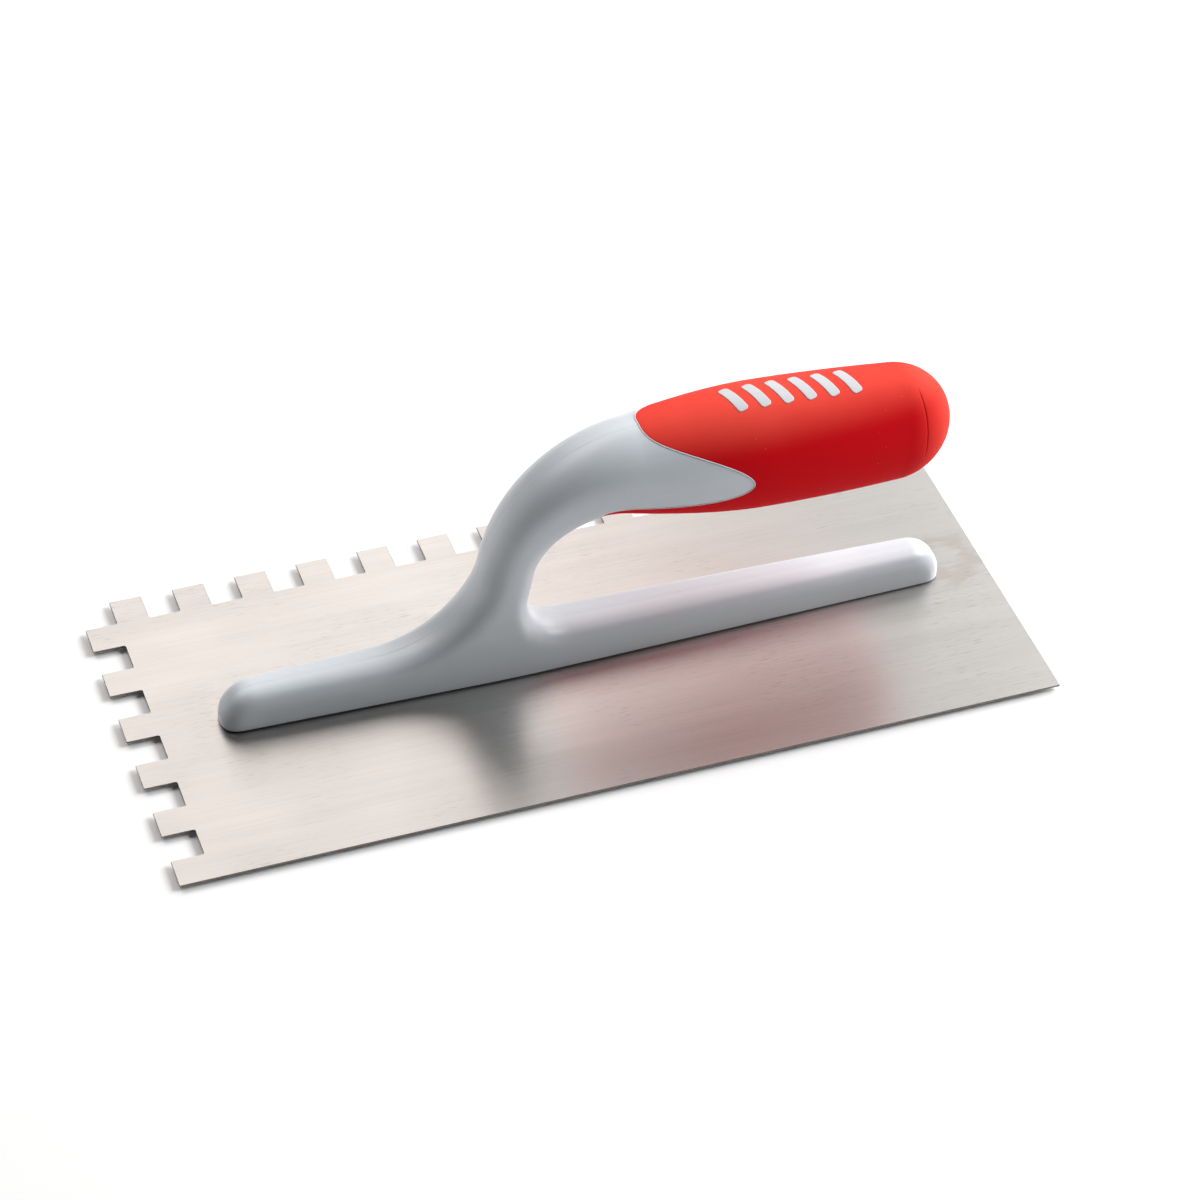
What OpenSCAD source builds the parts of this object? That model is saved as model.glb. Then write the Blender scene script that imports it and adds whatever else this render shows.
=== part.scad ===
// Notched trowel: a thin notched blade under an open two-shot handle.
// Millimetres, +Z up. The origin is the middle of the blade's underside, +X runs along
// the blade towards the open end of the grip, and +Y towards the long notched edge.

/* [Blade] */
// Length of the blade
blade_l = 280; // [250:1:360]
// Width of the blade
blade_w = 120; // [100:1:150]
// Thickness of the sheet
blade_t = 0.7; // [0.5:0.1:1.2]
// Width of one notch
notch_w = 10; // [5:0.5:12]
// Depth of one notch
notch_d = 10; // [4:0.5:12]
// Nominal width of the tooth between two notches
tooth_w = 10; // [5:0.5:12]

/* [Shoe] */
// Length of the shoe
shoe_l = 235; // [190:1:238]
// Width of the shoe under the neck
shoe_w = 17; // [15:0.5:22]
// Width of the shoe at its two ends
shoe_end_w = 11.6; // [11:0.2:15]
// Height of the shoe under the neck
shoe_h = 14.5; // [13:0.5:18]
// Height of the shoe at its two ends
shoe_end_h = 12.6; // [12:0.5:14]
// How far each end of the shoe takes to round off
shoe_nose_l = 8; // [5:0.5:12]
// How much lower the tip of each end is
shoe_nose_drop = 8; // [4:0.5:8]
// How far the shoe sits past the blade's middle, towards the open end of the grip
shoe_shift = 6; // [0:0.5:6]
// Gap under the shoe's rim that shows as a dark line
rim_gap = 0.4; // [0.2:0.1:0.8]
// How far the shoe's foot is set in from its rim
rim_inset = 1; // [0.5:0.1:1.5]

/* [Weld studs] */
// Number of studs
stud_count = 6; // [4:1:6]
// Diameter of a stud's shank, the same as its socket in the shoe
stud_d = 4; // [3:0.5:5]
// Height of a stud above the blade
stud_h = 9; // [7:0.5:9.5]
// Diameter of a stud's welded flange
flange_d = 7; // [6:0.5:7.5]
// Thickness of a stud's flange
flange_t = 0.8; // [0.5:0.1:1.2]
// Depth of the two grooves that the plastic grips
groove_depth = 0.4; // [0.2:0.1:0.6]
// Room over the end of a stud, in its socket
stud_end_room = 0.5; // [0.2:0.1:1]
// Width of the coring pockets between the sockets
pocket_w = 6; // [4:0.5:7]
// Depth of the coring pockets
pocket_h = 8; // [4:0.5:9]
// Thickness of the plastic around a socket and between two pockets
rib_t = 3; // [2:0.5:4]

/* [Neck] */
// Where the neck's centreline would meet the blade, from the blade's middle
neck_x = -28.5; // [-40:0.5:-20]
// Lean of the neck from the blade, in degrees
neck_lean = 81; // [76:0.5:86]
// Radius of the bend from neck to grip, along the centreline
bend_r = 36; // [34:0.5:42]
// Thickness of the neck along the blade, at its thinnest
neck_t = 16; // [14:0.5:20]
// Width of the neck across the blade, at its thinnest
neck_w = 18.8; // [16:0.2:22]
// Fillet between neck and shoe on the closed side
closed_fillet = 27; // [16:1:30]
// Fillet between neck and shoe on the open side
open_fillet = 16; // [6:0.5:18]

/* [Grip] */
// Height of the grip's centreline above the blade's underside, where the bend ends
grip_z = 72.4; // [66:0.2:90]
// Slope of the grip down to its rear end, in degrees
grip_drop = 2.8; // [0:0.2:5]
// Where the grip ends, from the blade's middle
grip_end_x = 119; // [110:1:135]
// Height of the grip at its fullest
grip_h = 39.6; // [34:0.5:46]
// Width of the grip at its fullest
grip_w = 36.8; // [32:0.2:42]
// Height of the grip where its rear end begins to round off
rear_h = 38.4; // [32:0.2:44]
// Width of the grip where its rear end begins to round off
rear_w = 32; // [30:0.5:40]
// Length of the rounded rear end
dome_l = 19; // [15:0.5:24]
// Distance along the centreline from the start of the bend to the fullest section
belly_s = 94; // [84:1:100]
// Thickness of the soft skin over the core
skin_t = 2.5; // [1.5:0.1:3.5]
// Diameter of the hollow in the core
bore_d = 21; // [14:0.5:22]
// Length of the hollow in the core
bore_l = 78; // [60:1:85]
// Length of the plug's spigot in the hollow
spigot_l = 10; // [6:0.5:14]
// Wall of the plug's spigot
spigot_wall = 2.5; // [1.5:0.5:4]
// Where the plug meets the core, from the start of the rounded end
plug_s = 5; // [3:0.5:8]

/* [Skin edge] */
// Distance along the centreline from the start of the bend to the skin's front edge on top
edge_top_s = 54; // [48:1:60]
// The same to the tip of the hard tongue on each side
edge_tongue_s = 86; // [76:1:92]
// The same where the skin's edge runs forward under the tongue
edge_low_s = 42; // [36:1:48]
// The same to the skin's front edge underneath
edge_under_s = 33; // [28:1:36]
// How far round from the top the tongue's tip lies, in degrees
tongue_angle = 89; // [80:1:95]
// How far round from the top the tongue's lower edge lies, in degrees
strip_angle = 116; // [110:1:125]

/* [Raised pads] */
// Number of pads along the top of the grip
pad_count = 6; // [3:1:7]
// Distance between neighbouring pads
pad_pitch = 7.4; // [6.6:0.2:9]
// Length of a pad across the grip
pad_l = 11; // [8:0.5:13]
// Width of a pad along the grip
pad_w = 3.6; // [2.5:0.1:4.5]
// Slant of the pads, in degrees
pad_slant = 18; // [0:1:25]
// How far the pads stand above the skin
pad_rise = 0.3; // [0.2:0.1:0.5]
// Distance along the grip from the end of the bend to the first pad
pad_start = 31; // [26:1:36]

/* [Hidden] */
$fn = 64;

// Facets round the grip, rings along the neck's foot, the neck and the grip, and degrees
// between rings round the rounded end
around = 48;
foot_rings = 9;
neck_rings = 12;
body_rings = 14;
dome_step = 12;
// How strongly the foot's rings crowd together towards the shoe
foot_crowding = 2;
// How late the skin's edge turns back along the tongue, as an exponent
tongue_lag = 1.5;
// Facets over the shoe, and rings along it and round each nose
shoe_arch = 18;
shoe_rings = 12;
nose_rings = 5;
// Degrees round a nose where its last ring lies, short of the tip
nose_last_angle = 78;
// Exponent of the shoe's rounded-square section
shoe_section = 3;
// Overshoot of a cut past the face that it opens, and how far joined shapes run into each other
over = 1;

// Blade: whole numbers of notches, and the pitches that fit them to the edges
long_count = round(blade_l / (notch_w + tooth_w));
short_count = round(blade_w / (notch_w + tooth_w));
long_pitch = blade_l / long_count;
short_pitch = blade_w / short_count;

// Shoe: its ends, and where it is widest
shoe_x0 = shoe_shift - shoe_l / 2;
shoe_x1 = shoe_shift + shoe_l / 2;
shoe_wide_x = neck_x + shoe_h * cos(neck_lean) / sin(neck_lean) + neck_t / 2;
shoe_z = blade_t + rim_gap;

// Studs: spread evenly, two flange widths in from the shoe's ends. A shank is five bands
// long, and the second and fourth are grooved.
stud_bands = 5;
grooved_bands = [1, 3];
stud_margin = flange_d * 2;
stud_spacing = (shoe_l - 2 * stud_margin) / (stud_count - 1);
pocket_l = (stud_spacing - stud_d - 3 * rib_t) / 2 - (flange_d - stud_d) / 2;

// Neck and grip: the bend's centre and ends
bend_from = 90 + neck_lean;
bend_to = 90 - grip_drop;
bend_l = bend_r * (bend_from - bend_to) * PI / 180;
bend_cz = grip_z - bend_r;
neck_top_z = bend_cz + bend_r * sin(bend_from);
bend_cx = neck_x + neck_top_z / tan(neck_lean) - bend_r * cos(bend_from);
grip_x0 = bend_cx + bend_r * cos(bend_to);
end_s = bend_l + (grip_end_x - grip_x0) / cos(grip_drop);
dome_s = end_s - dome_l;
shoulder_s = -(neck_top_z - blade_t - shoe_end_h) / sin(neck_lean);
root_s = shoulder_s - shoe_h / 2;
cut_angle = asin(plug_s / (dome_l - skin_t));

function lerp(a, b, t) = a + (b - a) * t;
function clamp01(u) = min(1, max(0, u));
function smooth(u) = let (v = clamp01(u)) v * v * (3 - 2 * v);
function half_round(u) = sqrt(max(0, 1 - u * u));

// Centreline of neck and grip at a distance s from the start of the bend: [x, z, heading].
// The neck's sections turn level as they come down to the shoe.
function centreline(s) =
    s < 0 ? let (a = bend_from)
        [bend_cx + bend_r * cos(a) + s * cos(neck_lean),
         bend_cz + bend_r * sin(a) + s * sin(neck_lean), lerp(neck_lean, 90, clamp01(s / shoulder_s))] :
    s < bend_l ? let (a = bend_from - s / bend_r * 180 / PI)
        [bend_cx + bend_r * cos(a), bend_cz + bend_r * sin(a), a - 90] :
    let (a = bend_to, along = s - bend_l)
        [bend_cx + bend_r * cos(a) + along * cos(grip_drop),
         bend_cz + bend_r * sin(a) - along * sin(grip_drop), -grip_drop];

// Extra thickness that a fillet of radius r gives the neck at a height above the shoe
function flare(height, r) =
    height >= r ? 0 : r - sqrt(r * r - pow(r - max(0, height), 2));
function height_over_shoe(s) = (s - shoulder_s) * sin(neck_lean);

// Half sizes of the section at s: outwards from the bend, towards it, and across
function half_swell(s, thin, full, rear) =
    s < belly_s ? lerp(thin, full, smooth(s / belly_s)) / 2 :
    lerp(full, rear, pow((s - belly_s) / (dome_s - belly_s), 2)) / 2;
function half_out(s) = half_swell(s, neck_t, grip_h, rear_h)
    + (s < 0 ? flare(height_over_shoe(s), closed_fillet) : 0);
function half_in(s) = half_swell(s, neck_t, grip_h, rear_h)
    + (s < 0 ? flare(height_over_shoe(s), open_fillet) : 0);
function half_across(s) = half_swell(s, neck_w, grip_w, rear_w);

// Point on the section at s, at an angle round from the top, set in from the surface
function section_point(s, angle, inset) =
    let (c = centreline(s),
         half = cos(angle) > 0 ? half_out(s) : half_in(s),
         up = (half - inset) * cos(angle),
         side = (half_across(s) - inset) * sin(angle))
    [c[0] - up * sin(c[2]), -side, c[1] + up * cos(c[2])];

// Where the soft skin begins, at an angle round from the top
function edge_s(angle) =
    let (a = angle <= 180 ? angle : 360 - angle)
    a <= tongue_angle ?
        lerp(edge_top_s, edge_tongue_s, smooth(pow(a / tongue_angle, tongue_lag))) :
    a <= strip_angle ?
        lerp(edge_low_s, edge_tongue_s, half_round((a - tongue_angle) / (strip_angle - tongue_angle))) :
        lerp(edge_low_s, edge_under_s, half_round((180 - a) / (180 - strip_angle)));

function angles() = [for (i = [0 : around - 1]) 360 * i / around];
function neck_ring(t) = [for (a = angles()) section_point(lerp(0, edge_s(a), t), a, 0)];
function body_ring(t, inset) =
    [for (a = angles()) section_point(lerp(edge_s(a), dome_s, t), a, inset)];
function plain_ring(s, inset) = [for (a = angles()) section_point(s, a, inset)];
function dome_point(turn, angle, inset) =
    let (along = (dome_l - inset) * sin(turn),
         c = centreline(dome_s + along),
         up = (rear_h / 2 - inset) * cos(turn) * cos(angle),
         side = (rear_w / 2 - inset) * cos(turn) * sin(angle))
    [c[0] + up * sin(grip_drop), -side, c[1] + up * cos(grip_drop)];
function dome_ring(turn, inset) = [for (a = angles()) dome_point(turn, a, inset)];

// The neck's rings: close together over the shoe, where the fillets are, and even above them
foot_part = [for (i = [0 : foot_rings - 1])
    plain_ring(lerp(shoulder_s, 0, pow(i / foot_rings, foot_crowding)), 0)];
neck_part = concat([plain_ring(root_s, 0)], foot_part,
    [for (i = [0 : neck_rings]) neck_ring(i / neck_rings)]);
function body_part(inset) = [for (i = [0 : body_rings]) body_ring(i / body_rings, inset)];
// Turns round the rounded end: up to the plug's joint, and from there to the pole
front_turns = [cut_angle / 2, cut_angle];
rear_turns = [for (i = [1 : floor((90 - cut_angle) / dome_step)]) cut_angle + i * dome_step];
pole_turns = rear_turns[len(rear_turns) - 1] > 90 - dome_step / 2
    ? [for (i = [0 : len(rear_turns) - 2]) rear_turns[i]] : rear_turns;
function dome_part(turns, inset) = [for (t = turns) dome_ring(t, inset)];
function reversed(list) = [for (i = [len(list) - 1 : -1 : 0]) list[i]];
function total(list) = list * [for (value = list) 1];
function middle(ring) = [for (axis = [0 : 2]) total([for (p = ring) p[axis]]) / len(ring)];

// Closed solid through rings of equal length; each end closes on a point. Rings that run
// back along the axis are inside out, and flipped turns their faces round.
module loft(rings, first, last, flipped = false) {
    n = len(rings[0]);
    count = len(rings);
    points = concat([first], [for (r = rings) for (p = r) p], [last]);
    faces = concat(
        [for (j = [0 : n - 1]) [0, 1 + j, 1 + (j + 1) % n]],
        [for (i = [0 : count - 2]) for (j = [0 : n - 1])
            let (a = 1 + i * n + j, b = 1 + i * n + (j + 1) % n)
                each [[a, a + n, b], [b, a + n, b + n]]],
        [for (j = [0 : n - 1]) let (base = 1 + (count - 1) * n)
            [base + n, base + (j + 1) % n, base + j]]);
    turned = flipped ? [for (f = faces) [f[2], f[1], f[0]]] : faces;
    polyhedron(points = points, faces = turned, convexity = 6);
}

// Shoe: half width and height at x, and the ring of its section there
function shoe_share(x) = x < shoe_wide_x
    ? (shoe_wide_x - x) / (shoe_wide_x - shoe_x0) : (x - shoe_wide_x) / (shoe_x1 - shoe_wide_x);
function shoe_half_w(x) = lerp(shoe_w, shoe_end_w, shoe_share(x)) / 2;
function shoe_top(x) = lerp(shoe_h, shoe_end_h, shoe_share(x)) - rim_gap;
function shoe_ring(x, narrow, drop) =
    [for (i = [0 : shoe_arch])
        let (b = 180 * i / shoe_arch, side = cos(b),
             y = shoe_half_w(x) * narrow * sign(side) * pow(abs(side), 2 / shoe_section),
             z = (shoe_top(x) - drop) * pow(max(0, sin(b)), 2 / shoe_section))
        [x, y, shoe_z + z]];
function nose_ring(turn, tip_x, inwards) =
    shoe_ring(tip_x + inwards * shoe_nose_l * (1 - sin(turn)), cos(turn), shoe_nose_drop * (1 - cos(turn)));
nose_turns = [for (i = [0 : nose_rings - 1]) nose_last_angle * (1 - i / nose_rings)];
shoe_mid_rings = [for (i = [0 : shoe_rings])
    shoe_ring(lerp(shoe_x0 + shoe_nose_l, shoe_x1 - shoe_nose_l, i / shoe_rings), 1, 0)];

function stud_x(i) = shoe_x0 + stud_margin + i * stud_spacing;

// Outline of the shoe seen from above, set in from its rim, as one side's points
function nose_point(turn, tip_x, inwards, inset) =
    [tip_x + inwards * (inset + (shoe_nose_l - inset) * (1 - sin(turn))),
     (shoe_end_w / 2 - inset) * cos(turn)];
function plan_side(inset) = concat(
    [[shoe_x0 + inset, 0]],
    [for (t = nose_turns) nose_point(t, shoe_x0, 1, inset)],
    [[shoe_wide_x, shoe_w / 2 - inset]],
    [for (t = reversed(nose_turns)) nose_point(t, shoe_x1, -1, inset)],
    [[shoe_x1 - inset, 0]]);

module shoe() {
    rings = concat([for (t = nose_turns) nose_ring(t, shoe_x0, 1)], shoe_mid_rings,
        [for (t = reversed(nose_turns)) nose_ring(t, shoe_x1, -1)]);
    loft(rings, middle(rings[0]), middle(rings[len(rings) - 1]));
}

// The part of the shoe that stands on the blade, inside its rim
module foot() {
    side = plan_side(rim_inset);
    far_side = [for (i = [len(side) - 2 : -1 : 1]) [side[i][0], -side[i][1]]];
    translate([0, 0, blade_t]) linear_extrude(rim_gap + over) polygon(concat(side, far_side));
}

module stud_sockets() {
    for (i = [0 : stud_count - 1]) translate([stud_x(i), 0, blade_t]) {
        cylinder(d = stud_d, h = stud_h + stud_end_room);
        translate([0, 0, -over]) cylinder(d = flange_d, h = flange_t + over);
    }
}

module coring_pockets() {
    for (i = [0 : stud_count - 2], half = [-1, 1]) {
        x = stud_x(i) + stud_spacing / 2 + half * (pocket_l + rib_t) / 2;
        translate([x, 0, blade_t + (pocket_h - over) / 2])
            cube([pocket_l, pocket_w, pocket_h + over], center = true);
    }
}

// Places its children on the grip's straight centreline, with +Z towards its rear end
module along_grip(s) {
    c = centreline(s);
    translate([c[0], 0, c[1]]) rotate([0, 90 + grip_drop, 0]) children();
}

// Upright bars, standing on the core, that cut the pads from the skin
module pad_bars() {
    for (i = [0 : pad_count - 1]) {
        c = centreline(bend_l + pad_start + i * pad_pitch);
        translate([c[0], 0, c[1]]) rotate([0, grip_drop, 0]) rotate([0, 0, pad_slant])
            translate([-pad_w / 2, -pad_l / 2, bore_d / 2 + over]) cube([pad_w, pad_l, grip_h / 2]);
    }
}

module pads() {
    front_s = bend_l + pad_start - pad_l;
    rear_s = min(dome_s, bend_l + pad_start + pad_count * pad_pitch + pad_l / 2);
    rings = [for (i = [0 : body_rings])
        plain_ring(lerp(front_s, rear_s, i / body_rings), -pad_rise)];
    intersection() {
        loft(rings, middle(rings[0]), middle(rings[body_rings]));
        pad_bars();
    }
}

module blade() {
    color([0.83, 0.81, 0.78]) linear_extrude(blade_t) difference() {
        square([blade_l, blade_w], center = true);
        for (k = [1 : long_count])
            translate([blade_l / 2 - k * long_pitch, blade_w / 2 - notch_d])
                square([notch_w, notch_d + over]);
        for (k = [1 : short_count])
            translate([-blade_l / 2 - over, -blade_w / 2 + k * short_pitch - notch_w])
                square([notch_d + over, notch_w]);
    }
}

module weld_studs() {
    band_h = (stud_h - flange_t) / stud_bands;
    color([0.72, 0.72, 0.72]) for (i = [0 : stud_count - 1])
        translate([stud_x(i), 0, blade_t]) difference() {
            union() {
                cylinder(d = flange_d, h = flange_t);
                cylinder(d = stud_d, h = stud_h);
            }
            for (band = grooved_bands) translate([0, 0, flange_t + band * band_h]) difference() {
                cylinder(d = stud_d + over, h = band_h);
                cylinder(d = stud_d - 2 * groove_depth, h = band_h);
            }
        }
}

module handle_body() {
    rings = concat(neck_part, body_part(skin_t), dome_part(front_turns, skin_t));
    color([0.62, 0.65, 0.68]) {
        difference() {
            union() {
                loft(rings, middle(rings[0]), middle(rings[len(rings) - 1]));
                shoe();
                foot();
            }
            stud_sockets();
            coring_pockets();
            along_grip(dome_s + plug_s - bore_l) cylinder(d = bore_d, h = bore_l + over);
        }
        pads();
    }
}

module grip_skin() {
    outer = concat(body_part(0), dome_part(concat(front_turns, pole_turns), 0));
    inner = concat(body_part(skin_t), dome_part(concat(front_turns, pole_turns), skin_t));
    rings = concat(reversed(outer), inner);
    color([0.82, 0.13, 0.11]) difference() {
        loft(rings, dome_point(90, 0, 0), dome_point(90, 0, skin_t), flipped = true);
        pad_bars();
    }
}

module end_plug() {
    rings = dome_part(concat([cut_angle], pole_turns), skin_t);
    color([0.45, 0.47, 0.5]) union() {
        loft(rings, middle(rings[0]), dome_point(90, 0, skin_t));
        difference() {
            along_grip(dome_s + plug_s - spigot_l) cylinder(d = bore_d, h = spigot_l + over);
            along_grip(dome_s + plug_s - spigot_l - over)
                cylinder(d = bore_d - 2 * spigot_wall, h = spigot_l + over);
        }
    }
}

blade();
weld_studs();
handle_body();
grip_skin();
end_plug();
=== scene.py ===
"""Notched trowel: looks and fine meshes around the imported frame.

Metres, +Z up, +X along the blade towards the open end of the grip. The grey moulding is one
surface net round an implicit shape, the soft grip is rings round the grip's centreline, and the
blade is a stamped sheet. Sizes are in millimetres in the classes and become metres in the meshes,
unless a class says otherwise.
"""

import logging
import math
from collections.abc import Callable, Iterator, Sequence
from contextlib import contextmanager
from dataclasses import dataclass, field
from enum import Enum

import bmesh
import bpy
import numpy as np
from mathutils import Matrix, Vector


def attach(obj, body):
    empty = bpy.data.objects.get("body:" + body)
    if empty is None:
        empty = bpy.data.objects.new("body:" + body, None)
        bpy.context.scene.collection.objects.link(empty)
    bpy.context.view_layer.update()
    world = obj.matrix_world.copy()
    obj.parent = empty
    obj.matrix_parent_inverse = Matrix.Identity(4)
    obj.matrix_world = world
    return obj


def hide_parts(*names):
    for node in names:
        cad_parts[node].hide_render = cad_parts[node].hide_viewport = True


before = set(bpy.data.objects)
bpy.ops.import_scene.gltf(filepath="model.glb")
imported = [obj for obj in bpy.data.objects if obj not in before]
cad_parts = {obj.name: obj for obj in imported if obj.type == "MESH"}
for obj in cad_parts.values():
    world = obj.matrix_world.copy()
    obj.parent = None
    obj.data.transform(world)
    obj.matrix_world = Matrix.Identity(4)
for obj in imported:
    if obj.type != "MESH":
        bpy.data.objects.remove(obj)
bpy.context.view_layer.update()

MM = 0.001
BODY = "root"
Array = np.ndarray
Colour = tuple[float, float, float]
log = logging.getLogger("trowel")


# ---------------------------------------------------------------- shader wiring


class Wire:
    """A node's output socket that takes part in Python expressions."""

    def __init__(self, graph: "Graph", socket: bpy.types.NodeSocket) -> None:
        """Wraps one output socket of a graph."""
        self.graph = graph
        self.socket = socket

    def _maths(self, operation: str, *values: object, clamp: bool = False) -> "Wire":
        """Adds one Math node.

        Args:
            operation: The Math node's operation.
            values: Wires or numbers for its inputs.
            clamp: Whether the result is kept from 0 to 1.

        Returns:
            The Math node's result.
        """
        node = self.graph.add("ShaderNodeMath", {"operation": operation, "use_clamp": clamp},
                              dict(enumerate(values)))
        return Wire(self.graph, node.outputs[0])

    def __add__(self, other: object) -> "Wire":
        """Sum with a wire or a number."""
        return self._maths("ADD", self, other)

    __radd__ = __add__

    def __sub__(self, other: object) -> "Wire":
        """Difference from a wire or a number."""
        return self._maths("SUBTRACT", self, other)

    def __rsub__(self, other: object) -> "Wire":
        """A number less this wire."""
        return self._maths("SUBTRACT", other, self)

    def __mul__(self, other: object) -> "Wire":
        """Product with a wire or a number."""
        return self._maths("MULTIPLY", self, other)

    __rmul__ = __mul__

    def __truediv__(self, other: object) -> "Wire":
        """Quotient by a wire or a number."""
        return self._maths("DIVIDE", self, other)

    def __pow__(self, other: object) -> "Wire":
        """Power of this wire."""
        return self._maths("POWER", self, other)

    def __abs__(self) -> "Wire":
        """Size without sign."""
        return self._maths("ABSOLUTE", self)

    def clamped(self) -> "Wire":
        """The same, kept from 0 to 1."""
        return self._maths("ADD", self, 0.0, clamp=True)

    def step(self, low: float, high: float) -> "Wire":
        """Smooth rise from 0 at low to 1 at high.

        Args:
            low: Where the rise starts.
            high: Where it ends, which may be below low for a fall.

        Returns:
            The eased value.
        """
        if low > high:
            return 1 - self.step(high, low)
        node = self.graph.add("ShaderNodeMapRange", {"interpolation_type": "SMOOTHSTEP"},
                              {0: self, 1: low, 2: high})
        return Wire(self.graph, node.outputs[0])

    def swing(self, weight: float) -> "Wire":
        """How far the wire is from 0.5, times a weight."""
        return (self - 0.5) * weight


class Graph:
    """The node tree of one new material, with its surface shader."""

    def __init__(self, name: str) -> None:
        """Makes an empty material.

        Args:
            name: The material's name.
        """
        self.material = bpy.data.materials.new(name)
        self.material.use_nodes = True
        self.tree = self.material.node_tree
        self.tree.nodes.clear()
        self.output = self.tree.nodes.new("ShaderNodeOutputMaterial")
        self.coords = Wire(self, self.add("ShaderNodeTexCoord").outputs["Object"])

    def add(self, kind: str, settings: dict | None = None, inputs: dict | None = None) -> bpy.types.Node:
        """Adds any node.

        Args:
            kind: The node's type.
            settings: Its properties, set before its sockets.
            inputs: Its sockets by name or number, each with a value or a wire.

        Returns:
            The new node.
        """
        node = self.tree.nodes.new(kind)
        for name, value in (settings or {}).items():
            setattr(node, name, value)
        for key, value in (inputs or {}).items():
            if isinstance(value, Wire):
                self.tree.links.new(value.socket, node.inputs[key])
            else:
                node.inputs[key].default_value = value
        return node

    def axis(self, letter: str) -> Wire:
        """One object coordinate in metres.

        Args:
            letter: X, Y or Z.

        Returns:
            The coordinate.
        """
        return Wire(self, self.add("ShaderNodeSeparateXYZ", inputs={0: self.coords}).outputs[letter])

    def stretched(self, scale: Sequence[float], turn: float = 0.0) -> Wire:
        """Object coordinates scaled along each axis.

        Args:
            scale: Cells per metre along X, Y and Z.
            turn: Turn about Z before scaling, in degrees.

        Returns:
            The vector.
        """
        turned = self.add("ShaderNodeVectorRotate", {"rotation_type": "Z_AXIS"},
                          {"Vector": self.coords, "Angle": math.radians(turn)})
        node = self.add("ShaderNodeVectorMath", {"operation": "MULTIPLY"},
                        {0: Wire(self, turned.outputs[0]), 1: tuple(scale)})
        return Wire(self, node.outputs[0])

    def noise(self, scale: Sequence[float], detail: float = 2.0, turn: float = 0.0) -> Wire:
        """Soft noise round 0.5.

        Args:
            scale: Cells per metre along X, Y and Z.
            detail: Octaves of finer noise.
            turn: Turn about Z, in degrees.

        Returns:
            The noise.
        """
        node = self.add("ShaderNodeTexNoise", {"noise_dimensions": "3D"},
                        {"Vector": self.stretched(scale, turn), "Scale": 1.0, "Detail": detail})
        return Wire(self, node.outputs[0])

    def specks(self, scale: float, size: float) -> Wire:
        """Sparse round dots.

        Args:
            scale: Dots per metre along each axis.
            size: Radius of a dot as a share of the spacing.

        Returns:
            1 inside a dot and 0 outside.
        """
        node = self.add("ShaderNodeTexVoronoi", {"feature": "F1"},
                        {"Vector": self.coords, "Scale": scale, "Randomness": 1.0})
        return Wire(self, node.outputs["Distance"]).step(size, size * 0.5)

    def mix(self, share: object, low: Sequence[float] | Wire, high: Sequence[float] | Wire) -> Wire:
        """Blend of two colours.

        Args:
            share: How much of the second colour, from 0 to 1.
            low: First colour.
            high: Second colour.

        Returns:
            The blended colour.
        """
        def ready(colour: Sequence[float] | Wire) -> object:
            """A wire as it is, or a colour with its alpha."""
            return colour if isinstance(colour, Wire) else (*colour, 1.0)

        node = self.add("ShaderNodeMix", {"data_type": "RGBA"}, {0: share, 6: ready(low), 7: ready(high)})
        return Wire(self, node.outputs[2])

    def bump(self, height: Wire, depth: float) -> Wire:
        """Normal bent by a height.

        Args:
            height: The height, from 0 to 1.
            depth: What a height of 1 stands for, in metres.

        Returns:
            The normal.
        """
        node = self.add("ShaderNodeBump", inputs={"Height": height, "Distance": depth, "Strength": 1.0})
        return Wire(self, node.outputs[0])

    def finish(self, **sockets: object) -> bpy.types.Material:
        """Adds the surface shader and connects it.

        Args:
            sockets: Shader sockets by name, with _ for a space.

        Returns:
            The finished material.
        """
        named = {name.replace("_", " "): value for name, value in sockets.items()}
        shader = self.add("ShaderNodeBsdfPrincipled", inputs=named)
        self.tree.links.new(shader.outputs[0], self.output.inputs[0])
        return self.material


# ---------------------------------------------------------------- finishes


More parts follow.
